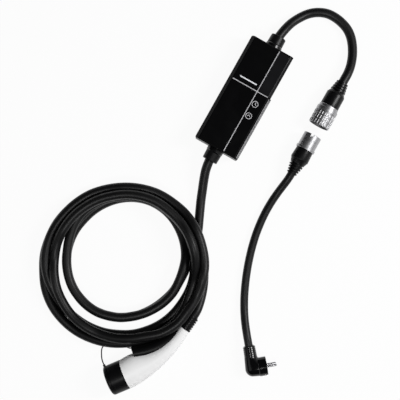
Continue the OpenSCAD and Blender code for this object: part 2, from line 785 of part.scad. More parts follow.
// Nut: plain neck, smooth rear band, then knurled bands with turned grooves between them
module coupling_nut() {
    band = (nut_l - nut_neck_l) / nut_bands;
    groove_w = 1.6;
    groove_d = 1.1;
    flute_r = 1.8;
    flute_d = 0.8;
    bands = [for (k = [nut_bands - 1:-1:0]) let (z0 = nut_neck_l + k * band, z1 = z0 + band)
        each [[nut_r - groove_d, z1 - groove_w / 2], [nut_r - 0.5, z1 - groove_w / 2],
            [nut_r, z1 - groove_w / 2 - 0.5], [nut_r, z0 + groove_w / 2 + 0.5],
            [nut_r - 0.5, z0 + groove_w / 2], [nut_r - groove_d, z0 + groove_w / 2]]];
    color("silver") at_coupler() difference() {
        turned(concat([[barrel_r + nut_gap, nut_gap], [barrel_r + nut_gap, nut_gap + nut_flange],
            [nut_bore_r, nut_gap + nut_flange], [nut_bore_r, nut_l], [nut_r - groove_d, nut_l]], bands,
            [[nut_r - groove_d, nut_neck_l], [nut_neck_r, nut_neck_l], [nut_neck_r, nut_gap + 0.5],
            [nut_neck_r - 0.5, nut_gap]]));
        for (k = [0:nut_flutes - 1]) rotate(360 * k / nut_flutes)
            translate([nut_r + flute_r - flute_d, 0, nut_neck_l + band + groove_w])
                cylinder(r = flute_r, h = nut_l, $fn = 24);
    }
}

// Adapter lead: local z runs from the open front back to the lead
module at_adapter() { translate([couple_x, adapter_y, couple_z]) rotate([90, 0, 0]) children(); }

module adapter_shell() {
    flange_l = 5;
    key_w = 5;
    key_l = 6;
    color("silver") at_adapter() difference() {
        turned([[shell_r - shell_wall, 0], [shell_r - 0.4, 0], [shell_r, 0.4], [shell_r, shell_l * 0.36],
            [shell_r - 0.5, shell_l * 0.36 + 0.3], [shell_r - 0.5, shell_l * 0.36 + 1.6],
            [shell_r, shell_l * 0.36 + 1.9], [shell_r, shell_l - flange_l],
            [shell_flange_r - 0.4, shell_l - flange_l], [shell_flange_r, shell_l - flange_l + 0.4],
            [shell_flange_r, shell_l - 0.4], [shell_flange_r - 0.4, shell_l], [barrel_tail_r, shell_l],
            [barrel_tail_r, shell_l + barrel_tail_l], [0, shell_l + barrel_tail_l], [0, shell_l - 1],
            [shell_r - shell_wall, shell_l - 1]]);
        translate([-key_w, shell_r - 2 * shell_wall, -over]) cube([key_w, 3 * shell_wall, key_l + over]);
    }
}

module adapter_insert() {
    color([0.12, 0.12, 0.12]) at_adapter() difference() {
        translate([0, 0, pin_face])
            cylinder(r = shell_r - shell_wall - panel_gap, h = shell_l - 1 - pin_face);
        for (p = contact_at) translate([p.x, p.y, pin_face - over])
            cylinder(r = pin_thin_r + 0.05, h = shell_l, $fn = 32);
    }
}

module adapter_pins() {
    tip = 5;
    color("gold") at_adapter() for (p = contact_at) translate([p.x, p.y, tip])
        rotate_extrude($fn = 32) polygon([[0, 0], [pin_thin_r * 0.5, 0], [pin_thin_r, 1],
            [pin_thin_r, shell_l - 1 - tip], [0, shell_l - 1 - tip]]);
}

module adapter_boot() {
    color([0.08, 0.08, 0.08]) at_adapter() translate([0, 0, shell_l])
        boot_shape([mould_r - 1.5, mould_r - 0.4, mould_r - 4.5, lead_bore_r + 0.8], mould_l * 0.74,
            lead_bore_r);
}

module adapter_lead() { color([0.07, 0.07, 0.07]) tube(adapter_route, lead_r); }

// Mains plug: local x runs out of the face along the pins, local y to the cable entry
module at_plug() { translate([plug_at.x, plug_at.y, plug_z]) rotate([0, 0, plug_turn]) children(); }

module pin_shape(r) {
    turned([[0, -pin_root], [pin_root_r, -pin_root], [pin_root_r, pin_neck], [r, pin_neck], [r, pin_l - 1.6],
        [r * 0.55, pin_l], [0, pin_l]]);
}

module plug_body() {
    dome_r = 14.5;
    clip_cut = 1.5;
    color([0.07, 0.07, 0.07]) at_plug() difference() {
        union() {
            rotate([0, 90, 0]) turned([[0, -plug_disc], [plug_r - 1.5, -plug_disc], [plug_r, 1.5 - plug_disc],
                [plug_r, -1], [plug_r - 0.7, 0], [0, 0]]);
            hull() {
                translate([-plug_disc, 0, 0]) rotate([0, 90, 0]) cylinder(r = plug_r - 1, h = 1, $fn = 48);
                translate([entry_x, -2, 0]) sphere(dome_r, $fn = 48);
                translate([entry_x, entry_l - entry_rib_l, 0]) rotate([90, 0, 0])
                    cylinder(r = entry_r1, h = 1, $fn = 48);
            }
            translate([entry_x, entry_l - entry_rib_l - tiny, 0]) rotate([-90, 0, 0])
                ribbed(entry_rib_l, entry_r1, entry_r2, relief_ribs, 1.5);
        }
        for (z = [-1, 1]) translate([-pin_root - 0.05, 0, z * pin_pitch / 2]) rotate([0, 90, 0])
            cylinder(r = pin_root_r + 0.05, h = pin_root + over);
        translate([entry_x, entry_l - entry_rib_l - 4, 0]) rotate([-90, 0, 0])
            cylinder(r = lead_bore_r, h = entry_rib_l + 4 + over);
        for (y = [-1, 1]) translate([-plug_disc * 0.8, y * plug_r - clip_cut, -clip_w / 2 - panel_gap])
            cube([plug_disc, 2 * clip_cut, clip_w + 2 * panel_gap]);
    }
}

module plug_pins() {
    color("silver") at_plug() for (z = [-1, 1]) translate([0, 0, z * pin_pitch / 2]) rotate([0, 90, 0])
        pin_shape(pin_r);
}

module earth_clips() {
    clip_cut = 1.5;
    color("silver") at_plug() for (y = [-1, 1])
        translate([-plug_disc * 0.8, y > 0 ? plug_r - clip_cut : clip_cut - plug_r - clip_sheet, -clip_w / 2])
            cube([plug_disc * 0.8 - 0.5, clip_sheet, clip_w]);
}

// Charging cable
module cable_run() { color([0.07, 0.07, 0.07]) tube(run_route, cable_r); }
module cable_tail() { color([0.07, 0.07, 0.07]) tube(tail_route, cable_r); }

// Section of stacked turns: a block whose corners have the cable's own radius
module turns(inner, outer, height) {
    r = cable_r;
    translate([inner, r]) square([outer - inner, height - 2 * r]);
    translate([inner + r - tiny, 0]) square([outer - inner - 2 * r + 2 * tiny, height]);
    for (x = [inner + r, outer - r], z = [r, height - r]) translate([x, z]) circle(r);
}

module cable_coil() {
    color([0.07, 0.07, 0.07]) union() {
        translate(coil_at) rotate_extrude($fn = 128) turns(coil_r - coil_w, coil_r, coil_h);
        translate(loop_at) rotate_extrude($fn = 128)
            turns(loop_r - cable_r - tiny, loop_r + cable_r + tiny, coil_h - 1);
    }
}

// Vehicle connector: local x runs from the face back into the handle, local y to the inside of its bend
module at_connector() { translate([conn_at.x, conn_at.y, conn_z]) rotate([0, 0, conn_turn]) children(); }

module at_neck() { translate(neck_at) rotate([0, 0, neck_turn]) rotate([0, 90, 0]) children(); }

module connector_boot() {
    root_r = 7.2;
    root_l = 10;
    color([0.07, 0.07, 0.07]) at_connector() at_neck() difference() {
        union() {
            ribbed(conn_boot_l, conn_boot_r1, conn_boot_r2, conn_boot_ribs, 1.8);
            translate([0, 0, -root_l]) cylinder(r = root_r, h = root_l + tiny);
        }
        translate([0, 0, 4]) cylinder(r = bore_r, h = conn_boot_l);
    }
}

module handle_loft(inset, reach) {
    rows = smooth(handle_rows, 3);
    rings = [for (row = rows) section_ring(row, inset, handle_sides)];
    last = len(rings) - 1;
    lead_in = [for (p = rings[0]) p - [reach, 0, 0]];
    way = reach * [cos(neck_turn), sin(neck_turn), 0];
    lead_out = [for (p = rings[last]) p + way];
    skin(reach > 0 ? concat([lead_in], rings, [lead_out]) : rings);
}

module row_middle(i) {
    row = handle_rows[i];
    translate([(row[0] + row[2]) / 2, (row[1] + row[3]) / 2, 0]) children();
}

module handle_shell() {
    difference() {
        handle_loft(0, 0);
        handle_loft(handle_wall, over);
    }
    intersection() {
        handle_loft(handle_wall / 2, 0);
        for (i = shell_screw_rows) row_middle(i) cylinder(r = shell_boss_r, h = 4 * cap_r, center = true);
    }
}

module shell_upper() {
    color("white") at_connector() difference() {
        intersection() {
            handle_shell();
            translate([-cap_r, -4 * cap_r, 0]) cube([10 * cap_r, 8 * cap_r, 2 * cap_r]);
        }
        for (i = shell_screw_rows) row_middle(i) translate([0, 0, -over])
            cylinder(r = shell_screw_r + screw_gap, h = pilot_depth + over);
    }
}

module shell_lower() {
    color("white") at_connector() difference() {
        intersection() {
            handle_shell();
            translate([-cap_r, -4 * cap_r, -2 * cap_r]) cube([10 * cap_r, 8 * cap_r, 2 * cap_r]);
        }
        for (i = shell_screw_rows) row_middle(i) {
            translate([0, 0, -2 * cap_r]) cylinder(r = shell_screw_r + screw_gap, h = 2 * cap_r + over);
            translate([0, 0, -2 * cap_r])
                cylinder(r = shell_screw_head + screw_gap, h = 2 * cap_r - pilot_depth);
        }
    }
}

module shell_screws() {
    color("silver") at_connector() for (i = shell_screw_rows) row_middle(i) {
        translate([0, 0, -pilot_depth]) cylinder(r = shell_screw_r, h = 2 * pilot_depth - over, $fn = 32);
        translate([0, 0, -pilot_depth - 2]) cylinder(r = shell_screw_head, h = 2, $fn = 32);
    }
}

// Grip: its outer edge follows the coil, and the handle is cut out of it
module connector_grip() {
    steps = 12;
    rings = [for (i = [0:steps])
        let (s = i / steps, x = grip_x0 + (grip_x1 - grip_x0) * s, y = grip_edge(x))
        section_ring([x, y, x, y - grip_depth, grip_h * (1 - 0.4 * s * s)], 0, 28)];
    color([0.06, 0.06, 0.06]) at_connector() difference() {
        skin(rings);
        handle_loft(-grip_gap, 0);
    }
}

module contact_carrier() {
    groove = 2 * seal_r + 0.2;
    color([0.1, 0.1, 0.1]) at_connector() difference() {
        rotate([0, 90, 0]) union() {
            translate([0, 0, -nose_l]) cylinder(r = nose_r, h = nose_l);
            translate([0, 0, -tiny]) cylinder(r = spigot_r, h = carrier_in + tiny);
        }
        translate([-nose_l - over, -2 * nose_r - nose_r + 4, -nose_r])
            cube([nose_l - 6 + over, 2 * nose_r, 2 * nose_r]);
        translate([-5, 0, 0]) rotate([0, 90, 0]) difference() {
            cylinder(r = nose_r + over, h = groove);
            translate([0, 0, -over]) cylinder(r = nose_r - seal_r, h = groove + 2 * over);
        }
        for (p = power_at) contact_hole(p, power_r + 0.1);
        for (p = signal_at) contact_hole(p, signal_r + 0.1);
    }
}

module contact_hole(p, r) {
    translate([-nose_l - over, p[0], p[1]]) rotate([0, 90, 0])
        cylinder(r = r, h = nose_l + carrier_in + 2 * over);
}

module contact_sleeve(p, r, wall_r) {
    recess = 4;
    translate([recess - nose_l, p[0], p[1]]) rotate([0, 90, 0]) difference() {
        cylinder(r = r, h = nose_l + carrier_in - recess + 6, $fn = 48);
        translate([0, 0, -over]) cylinder(r = wall_r, h = nose_l + over, $fn = 48);
    }
}

module power_contacts() {
    color("gold") at_connector() for (p = power_at) contact_sleeve(p, power_r, power_r - 0.9);
}

module signal_contacts() {
    color("gold") at_connector() for (p = signal_at) contact_sleeve(p, signal_r, signal_r - 0.9);
}

module carrier_seal() {
    color("gray") at_connector() translate([-4.9, 0, 0]) rotate([0, 90, 0])
        turned([[nose_r - seal_r + 0.05, 0], [nose_r + seal_r - 0.2, 0], [nose_r + seal_r - 0.2, 2 * seal_r],
            [nose_r - seal_r + 0.05, 2 * seal_r]]);
}

module connector_cap() {
    lip = 0.3;
    color([0.07, 0.07, 0.07]) at_connector() union() {
        rotate([0, -90, 0]) turned([[cap_r - cap_wall, lip], [cap_r - 0.4, lip], [cap_r, lip + 0.4],
            [cap_r, cap_l - 8.6], [cap_r - 0.7, cap_l - 8.3], [cap_r - 0.7, cap_l - 7.3], [cap_r, cap_l - 7],
            [cap_r, cap_l - 4], [cap_r - 1, cap_l - 1.6], [cap_r - 3, cap_l - 0.3], [cap_r - 4, cap_l],
            [cap_r - 5, cap_l], [cap_r - 5.6, cap_l - 0.8], [cap_r - 8, cap_l - 0.8], [0, cap_l - 0.2],
            [0, cap_l - 3.2], [cap_r - cap_wall, cap_l - 3.2]]);
        translate([lug_x, cap_r - cap_wall - 1, lug_z]) rotate([-90, 0, 0])
            cylinder(r = lug_r, h = lug_y - cap_r + cap_wall + 1);
    }
}

module cap_tether() { color([0.05, 0.05, 0.05]) tube(tether_route, tether_r, 8); }

rear_cover();
front_cover();
seam_seal();
display_window();
main_panel();
key_panel();
corner_panel();
front_trim();
side_trim();
light_bar();
timer_key();
mode_key();
display_module();
control_board();
power_board();
relays();
current_sensor();
transformer();
capacitors();
terminal_blocks();
cover_screws();
supply_wires();
output_wires();
supply_collar();
supply_sleeve();
output_collar();
output_sleeve();
supply_lead();
coupler_boot();
coupler_barrel();
coupler_insert();
coupler_contacts();
nut_clip();
coupling_nut();
adapter_shell();
adapter_insert();
adapter_pins();
adapter_boot();
adapter_lead();
plug_body();
plug_pins();
earth_clips();
cable_run();
cable_coil();
cable_tail();
connector_boot();
shell_upper();
shell_lower();
connector_grip();
contact_carrier();
power_contacts();
signal_contacts();
carrier_seal();
shell_screws();
connector_cap();
cap_tether();
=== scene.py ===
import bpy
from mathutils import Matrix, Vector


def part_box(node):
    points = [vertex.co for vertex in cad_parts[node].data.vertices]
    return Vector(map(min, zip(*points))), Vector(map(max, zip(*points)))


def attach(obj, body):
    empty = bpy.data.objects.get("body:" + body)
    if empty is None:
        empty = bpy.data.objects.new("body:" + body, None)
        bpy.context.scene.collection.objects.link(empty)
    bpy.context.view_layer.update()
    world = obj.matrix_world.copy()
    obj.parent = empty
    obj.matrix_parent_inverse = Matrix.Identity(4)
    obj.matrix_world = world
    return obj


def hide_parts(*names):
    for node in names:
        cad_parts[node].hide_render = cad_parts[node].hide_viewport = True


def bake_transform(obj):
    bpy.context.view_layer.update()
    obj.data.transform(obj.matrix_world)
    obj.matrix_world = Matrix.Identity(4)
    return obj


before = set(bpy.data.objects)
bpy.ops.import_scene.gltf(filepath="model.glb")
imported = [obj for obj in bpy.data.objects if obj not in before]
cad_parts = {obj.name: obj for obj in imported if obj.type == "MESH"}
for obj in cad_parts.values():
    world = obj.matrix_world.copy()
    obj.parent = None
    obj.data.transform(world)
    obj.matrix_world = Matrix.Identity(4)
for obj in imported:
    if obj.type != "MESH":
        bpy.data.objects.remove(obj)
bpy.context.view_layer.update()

import math

import bmesh
import bpy
from mathutils import Vector

bl_info = {
    "name": "Portable Vehicle Charger",
    "version": (1, 0, 0),
    "blender": (4, 5, 0),
    "location": "View3D > Sidebar > Charger",
    "description": "Dresses the packed charger: cords, key marks, finishes and a pale studio",
    "category": "Object",
}

MM = 0.001

# Centrelines of the free cords in millimetres, from the piece they leave to the piece they end in
SUPPLY_ROUTE = [
    (0, 117, 25), (0, 127.5, 25), (0, 138, 25), (3, 156, 22), (8, 174, 16.5), (17, 192, 11.5),
    (28, 207, 9.2), (42, 218, 9.2), (59, 225, 9.2), (77, 226, 9.2), (94, 223, 9.2), (109, 217, 9.2),
    (122, 207, 9.2), (133, 193, 10), (142, 176, 12.2), (148, 157, 15.8), (150, 141, 19.4),
    (150, 128, 21.2), (150, 114, 21.2), (150, 88, 21.2),
]
ADAPTER_ROUTE = [
    (150, -52, 21.2), (150, -68, 21.2), (150, -82, 21.2), (149.3, -96, 18.6), (147.4, -112, 13.4),
    (145.4, -130, 9.2), (144, -151, 7.95), (144.1, -174, 7.95), (146.2, -198, 7.95), (150, -222, 7.95),
    (156.2, -248, 7.95), (164.5, -275, 7.95), (174.7, -302, 7.95), (186.3, -328, 7.95), (198, -350, 8.6),
    (208.4, -367, 11.4), (218.2, -381, 15.2), (228.2, -393.9, 17.8), (235.8, -403.2, 18.6),
    (244, -413.2, 18.6), (256.7, -428.7, 18.6),
]
CABLE_RUN = [
    (0, -117, 25), (0, -127.5, 25), (0, -138, 25), (3, -156, 21.5), (9, -174, 16.5), (16, -192, 12),
    (23, -210, 9.8), (30, -226, 9.2), (38, -244, 9.2), (46, -262, 9.2), (54, -284, 9.2),
]
CABLE_COIL = [
    (61, -308, 9.2), (63, -340, 9.2), (64, -366, 9.2), (63, -391, 9.2), (57, -413, 9.2), (48, -434, 9.2),
    (36, -453, 9.2), (22, -469, 9.2), (4, -482, 9.2), (-16, -492, 9.2), (-38, -497, 9.2), (-61, -498, 9.2),
    (-84, -493, 9.2), (-105, -483, 9.2), (-124, -469, 9.2), (-140, -451, 9.2), (-152, -430, 9.2),
    (-159, -406, 9.2), (-161, -381, 9.2), (-157, -355, 9.2), (-149, -330, 9.2), (-136, -307, 9.2),
    (-117, -286, 9.2), (-93, -270, 9.2), (-66, -261, 9.2), (-37, -260, 9.2), (-9, -267, 9.2),
    (16, -281, 9.2), (36, -299, 13.5), (51, -321, 23.5), (59, -345, 27.5), (63, -370, 27),
    (63, -393, 27), (57, -416, 27), (47, -436, 27), (34, -454, 27), (18, -469, 27), (0, -482, 27),
    (-20, -490, 27), (-42, -495, 27), (-65, -494, 27), (-87, -488, 27), (-108, -478, 27),
    (-126, -463, 27), (-141, -444, 27), (-152, -423, 27), (-161, -399, 27), (-166, -373, 26),
    (-164, -345, 25), (-153, -319, 25), (-136, -297, 26), (-113, -279, 27), (-87, -266, 27),
    (-59, -259, 27.5), (-30, -258, 27), (-2, -264, 26.5), (26, -275, 32), (49, -292, 35), (68, -315, 27),
    (82, -343, 14), (89, -372, 9.2), (89, -402, 9.2), (84, -431, 9.2), (73, -458, 9.2), (56, -482, 9.2),
    (35, -502, 9.2), (9, -517, 9.2), (-18, -527, 9.2), (-48, -531, 9.2), (-78, -529, 9.2),
    (-108, -521, 10), (-135, -505, 18.5), (-160, -485, 24), (-180, -459, 26.5), (-192, -428, 27),
    (-196, -395, 27), (-192, -362, 27), (-182, -331, 27), (-166, -303, 27), (-143, -279, 27.5),
    (-116, -260, 30.5), (-87, -247, 30.5), (-55, -240, 27.5), (-22, -241, 27.5), (11, -248, 31.5),
    (41, -263, 42), (66, -284, 43), (87, -310, 42.5), (100, -340, 44.5), (106, -373, 39.5),
    (104.5, -406.5, 43), (99, -438, 43), (82.5, -467, 42.5), (59, -488, 41), (35, -507, 38), (7, -522, 32.5),
    (-23, -530, 27), (-53, -531, 27.5), (-83, -525, 27), (-110, -512, 29), (-134, -493, 34),
    (-153, -470, 34), (-167, -445, 30), (-176, -417, 34), (-177.5, -387, 42), (-173.5, -358, 43),
    (-163.5, -331.5, 43), (-148, -306.5, 43.5), (-127.5, -286, 44.5), (-104, -269.5, 45), (-76, -258.5, 45.5),
    (-47.5, -254.5, 45.5), (-18, -258, 45), (10, -266, 46), (36, -280, 52.5), (58, -299, 52.5),
    (76, -324, 42), (88, -352, 29.5), (94, -382, 26.5), (97.9, -412.6, 26), (93.4, -445.1, 25.5),
    (78.6, -473.8, 24.5), (58.1, -498.4, 23), (33.4, -520, 21.5), (4, -537, 17.5), (-28, -547, 13),
    (-62, -550, 9.2), (-96, -544, 9.2), (-128, -530, 9.2), (-155, -508, 9.2), (-175, -480, 9.2), (-190, -450, 9.2),
    (-197, -417, 9.2), (-198, -384, 9.2), (-191, -351, 9.2), (-178, -321, 9.2), (-159, -294, 9.2),
    (-135, -272, 9.2), (-106, -255, 9.2), (-75, -244, 9.2), (-42, -241, 9.2), (-9, -244, 9.2),
    (22, -255, 17), (50, -273, 26), (74, -296, 22),
]
CABLE_TAIL = [
    (94, -325, 10), (103.5, -341.5, 10.5), (111, -359, 14.2), (116.5, -377, 20.2), (119.8, -395, 26.4),
    (119.9, -408.6, 29.1), (118.1, -425.5, 29.1), (117.1, -434.5, 29.1),
]
TETHER_ROUTE = [
    (46.7, -522.8, 20.1), (44.3, -525.9, 20.1), (38, -529, 11), (31, -532.5, 5.5), (22, -537, 2.2),
    (13, -541.5, 1.4), (4.5, -546, 1.4), (-1.5, -549.5, 1.4), (-3.5, -554.5, 1.5), (-2, -560, 3.5),
    (2, -566, 10), (7, -571.5, 17.5), (12.35, -575.7, 21.1), (15.5, -578.1, 21.1),
]

# Pieces that each cord's far end carries
SUPPLY_END = ("coupler_ribbed_boot", "coupler_barrel", "coupler_insert", "coupler_contacts", "nut_clip",
              "coupling_nut")
ADAPTER_END = ("plug_body", "plug_pins", "earth_clips", "adapter_shell", "adapter_insert", "adapter_pins",
               "adapter_ribbed_boot")
CABLE_END = ("connector_boot", "shell_upper", "shell_lower", "connector_grip", "contact_carrier",
             "power_contacts", "signal_contacts", "carrier_seal", "shell_screws", "connector_cap")

# Boots in millimetres: length of the moulded body, radii at its front, waist, first and last rib, place of the
# shoulder, bore, and depth of the grooves
COUPLER_BOOT = (31, (18.4, 18.2, 15.2, 12.0), 27.5, 9.2, 3.6)
ADAPTER_BOOT = (31, (16.9, 18.0, 13.9, 10.2), 23, 8.0, 1.8)
RIBBED_LENGTH = 21
RIB_SHARE = 0.45

# Key marks in millimetres about the middle of a key
MARK_RADIUS = 5.7
MARK_WIDTH = 1.0
CLOCK_HANDS = [(0.0, 3.9), (0.0, 0.0), (2.9, -1.7)]
UP_ARROW = [(-3.0, -1.4), (0.0, 1.9), (3.0, -1.4)]

RUBBER_BLACK = (0.0034, 0.0034, 0.0038)
FASTENER_STEEL = (0.42, 0.42, 0.44)
FACET_ANGLE = math.radians(32)
RIB_ANGLE = math.radians(35)

# Middle of the picture, and the lamps about it: steps to the right, up the picture and off the floor, then width,
# height and the setting that holds the power
CENTRE = Vector((0.0214, -0.211, 0.02))
LAMPS = (
    ("Key", 1.50, 0.20, 1.50, 0.45, 0.8, "key_power"),
    ("Fill", -1.4, -0.5, 1.3, 1.2, 1.2, "fill_power"),
    ("Top", 0.0, -0.80, 2.0, 0.36, 0.36, "top_power"),
)
FLOOR_RADIUS = 25
FLOOR_DROP = 0.0003
FLOOR_WHITE = 0.94


class ChargerCordSettings(bpy.types.PropertyGroup):
    """Thickness and fineness of the free cords"""
    cable_radius: bpy.props.FloatProperty(
        name="Charging cable radius", description="Outside radius of the charging cable and supply lead",
        default=0.009, unit="LENGTH")
    lead_radius: bpy.props.FloatProperty(
        name="Adapter lead radius", description="Outside radius of the loose adapter lead",
        default=0.00775, unit="LENGTH")
    tether_radius: bpy.props.FloatProperty(
        name="Tether radius", description="Outside radius of the cap's tether", default=0.0012, unit="LENGTH")
    spacing: bpy.props.FloatProperty(
        name="Point spacing", description="Distance between the points of a cord's line",
        default=0.004, unit="LENGTH")


class ChargerFinishSettings(bpy.types.PropertyGroup):
    """Colours of the charger's finishes"""
    case_colour: bpy.props.FloatVectorProperty(
        name="Case", description="Moulded black of the box's covers", subtype="COLOR",
        default=(0.0038, 0.0038, 0.0041), min=0, max=1)
    panel_colour: bpy.props.FloatVectorProperty(
        name="Front panels", description="Polished black of the front panels and keys", subtype="COLOR",
        default=(0.0024, 0.0024, 0.0027), min=0, max=1)
    corner_colour: bpy.props.FloatVectorProperty(
        name="Corner panel", description="Dark grey of the corner panel", subtype="COLOR",
        default=(0.0075, 0.0075, 0.0085), min=0, max=1)
    trim_colour: bpy.props.FloatVectorProperty(
        name="Trim", description="Satin silver of the trim strips", subtype="COLOR",
        default=(0.74, 0.74, 0.76), min=0, max=1)
    jacket_colour: bpy.props.FloatVectorProperty(
        name="Cable jacket", description="Black of the cables' jackets", subtype="COLOR",
        default=(0.0035, 0.0035, 0.0038), min=0, max=1)
    coupler_colour: bpy.props.FloatVectorProperty(
        name="Coupler metal", description="Satin silver of the coupler's metal parts", subtype="COLOR",
        default=(0.42, 0.42, 0.43), min=0, max=1)
    shell_colour: bpy.props.FloatVectorProperty(
        name="Connector shell", description="Satin white of the connector's shell", subtype="COLOR",
        default=(0.92, 0.92, 0.92), min=0, max=1)
    mark_colour: bpy.props.FloatVectorProperty(
        name="Key marks", description="Printed light grey of the key marks", subtype="COLOR",
        default=(0.66, 0.66, 0.68), min=0, max=1)


class ChargerStageSettings(bpy.types.PropertyGroup):
    """Camera, light and floor"""
    camera_height: bpy.props.FloatProperty(
        name="Camera height", description="Height of the camera above the floor", default=1.710, unit="LENGTH")
    lens: bpy.props.FloatProperty(
        name="Lens", description="Focal length of the camera", default=78.9, unit="CAMERA")
    turn: bpy.props.FloatProperty(
        name="Camera turn", description="Turn of the picture about the vertical",
        default=math.radians(29.37), subtype="ANGLE", unit="ROTATION")
    key_power: bpy.props.FloatProperty(
        name="Key light", description="Power of the main light on the right", default=27.0, unit="POWER")
    fill_power: bpy.props.FloatProperty(
        name="Fill light", description="Power of the weak light opposite", default=3.0, unit="POWER")
    top_power: bpy.props.FloatProperty(
        name="Top light", description="Power of the small light above the coil", default=13.0, unit="POWER")
    floor_tint: bpy.props.FloatVectorProperty(
        name="Floor", description="Pale colour of the floor", subtype="COLOR",
        default=(0.86, 0.86, 0.86), min=0, max=1)


def route_metres(points, spacing):
    """A smooth line through the points, in metres, with even steps."""
    p = [Vector(q) * MM for q in points]
    p = [2 * p[0] - p[1]] + p + [2 * p[-1] - p[-2]]
    line = []
    for a, b, c, d in zip(p, p[1:], p[2:], p[3:]):
        steps = max(2, math.ceil((c - b).length / spacing))
        for i in range(steps):
            t = i / steps
            line.append(0.5 * (2 * b + (c - a) * t + (2 * a - 5 * b + 4 * c - d) * t * t
                               + (3 * b - a - 3 * c + d) * t ** 3))
    line.append(p[-2])
    return line


def placed(name, data):
    """A new object of this data in the scene."""
    piece = bpy.data.objects.new(name, data)
    bpy.context.scene.collection.objects.link(piece)
    return piece


def circle_angles(sides):
    """Even angles once round a circle."""
    return [2 * math.pi * k / sides for k in range(sides)]


def ring_mesh(name, rings):
    """A closed mesh through rings of places, with flat ends."""
    mesh = bpy.data.meshes.new(name)
    bm = bmesh.new()
    rows = [[bm.verts.new(place) for place in ring] for ring in rings]
    for low, high in zip(rows, rows[1:]):
        for k in range(len(low)):
            after = (k + 1) % len(low)
            face = bm.faces.new((low[k], low[after], high[after], high[k]))
            face.smooth = True
    bm.faces.new(rows[0][::-1])
    bm.faces.new(rows[-1])
    bmesh.ops.recalc_face_normals(bm, faces=bm.faces)
    bm.to_mesh(mesh)
    bm.free()
    return mesh


def cord_curve(name, line, radius):
    """A round cord along the line, as one open spline."""
    data = bpy.data.curves.new(name, "CURVE")
    data.dimensions = "3D"
    data.bevel_depth = radius
    data.bevel_resolution = 6
    data.use_fill_caps = True
    data.twist_mode = "MINIMUM"
    spline = data.splines.new("POLY")
    spline.points.add(len(line) - 1)
    for point, place in zip(spline.points, line):
        point.co = (*place, 1)
    spline.use_smooth = True
    return placed(name, data)


def cord_tube(name, line, radius, sides=12):
    """A round cord along the line, as a closed mesh tube."""
    normal = Vector((0, 0, 1))
    rings = []
    for i, place in enumerate(line):
        along = (line[min(i + 1, len(line) - 1)] - line[max(i - 1, 0)]).normalized()
        normal = (normal - along * normal.dot(along)).normalized()
        side = along.cross(normal)
        rings.append([place + radius * (math.cos(a) * normal + math.sin(a) * side) for a in circle_angles(sides)])
    return placed(name, ring_mesh(name, rings))


def boot_profile(body, radii, shoulder, bore, groove, ribs=4):
    """Radii and places along a boot, in millimetres: a moulded body with a shoulder, then a ribbed taper."""
    front, waist, first, last = radii
    points = [(front - 0.8, 0), (front, 0.8), (waist, shoulder - 2.4), (waist - 0.3, shoulder - 1.0),
              (waist - 1.2, shoulder), (first, body)]
    pitch = RIBBED_LENGTH / ribs
    for k in range(ribs):
        rib, at = first + (last - first) * k / (ribs - 1), body + k * pitch
        neck, step = max(rib - groove, bore), at + RIB_SHARE * pitch
        points += [(neck, at), (neck, step), (rib, step), (rib - 0.2, at + pitch)]
    return points


def turned_boot(name, node, way, profile, sides=64):
    """A boot turned about the axis of the CAD node it stands for."""
    low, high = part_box(node)
    start = Vector(((low.x + high.x) / 2, low.y if way > 0 else high.y, (low.z + high.z) / 2))
    mesh = ring_mesh(name, [[start + MM * Vector((r * math.cos(a), way * along, r * math.sin(a)))
                             for a in circle_angles(sides)] for r, along in profile])
    mesh.set_sharp_from_angle(angle=RIB_ANGLE)
    return placed(name, mesh)


def printed_strokes(name, middle, strokes, width):
    """Flat printed lines on a face, in millimetres about its middle, a tenth of a millimetre proud."""
    mesh = bpy.data.meshes.new(name)
    bm = bmesh.new()
    for stroke in strokes:
        points = [Vector((*p, 0)) * MM for p in stroke]
        closed = (points[0] - points[-1]).length < 1e-7
        rows = []
        for i, p in enumerate(points):
            before = points[i - 1] if i else (points[-2] if closed else None)
            after = points[i + 1] if i + 1 < len(points) else (points[1] if closed else None)
            ways = [v.normalized() for v in ((p - before) if before is not None else None,
                                             (after - p) if after is not None else None) if v is not None]
            way = sum(ways, Vector()).normalized()
            side = Vector((-way.y, way.x, 0)) * (width * MM / 2 / max(0.5, way.dot(ways[0])))
            rows.append([bm.verts.new(middle + p + s * side + Vector((0, 0, z)))
                         for s, z in ((1, -0.0001), (-1, -0.0001), (-1, 0.0001), (1, 0.0001))])
        for a, b in zip(rows, rows[1:]):
            for k in range(4):
                bm.faces.new((a[k], a[(k + 1) % 4], b[(k + 1) % 4], b[k]))
        if not closed:
            bm.faces.new(rows[0])
            bm.faces.new(rows[-1])
    bmesh.ops.remove_doubles(bm, verts=bm.verts, dist=1e-7)
    bmesh.ops.recalc_face_normals(bm, faces=bm.faces)
    bm.to_mesh(mesh)
    bm.free()
    return placed(name, mesh)


def shader_group(name, inputs, outputs):
    """An empty shader node group with these sockets, and its ends."""
    group = bpy.data.node_groups.new(name, "ShaderNodeTree")
    for label, kind, default in inputs:
        socket = group.interface.new_socket(label, in_out="INPUT", socket_type=kind)
        socket.default_value = default
    for label, kind in outputs:
        group.interface.new_socket(label, in_out="OUTPUT", socket_type=kind)
    return group, group.nodes.new("NodeGroupInput"), group.nodes.new("NodeGroupOutput")


def arithmetic(tree, operation, first, second, third=None):
    """A Math node; each term is a socket or a number."""
    node = tree.nodes.new("ShaderNodeMath")
    node.operation = operation
    for socket, term in zip(node.inputs, (first, second, third)):
        if isinstance(term, (int, float)):
            socket.default_value = term
        elif term is not None:
            tree.links.new(term, socket)
    return node.outputs[0]


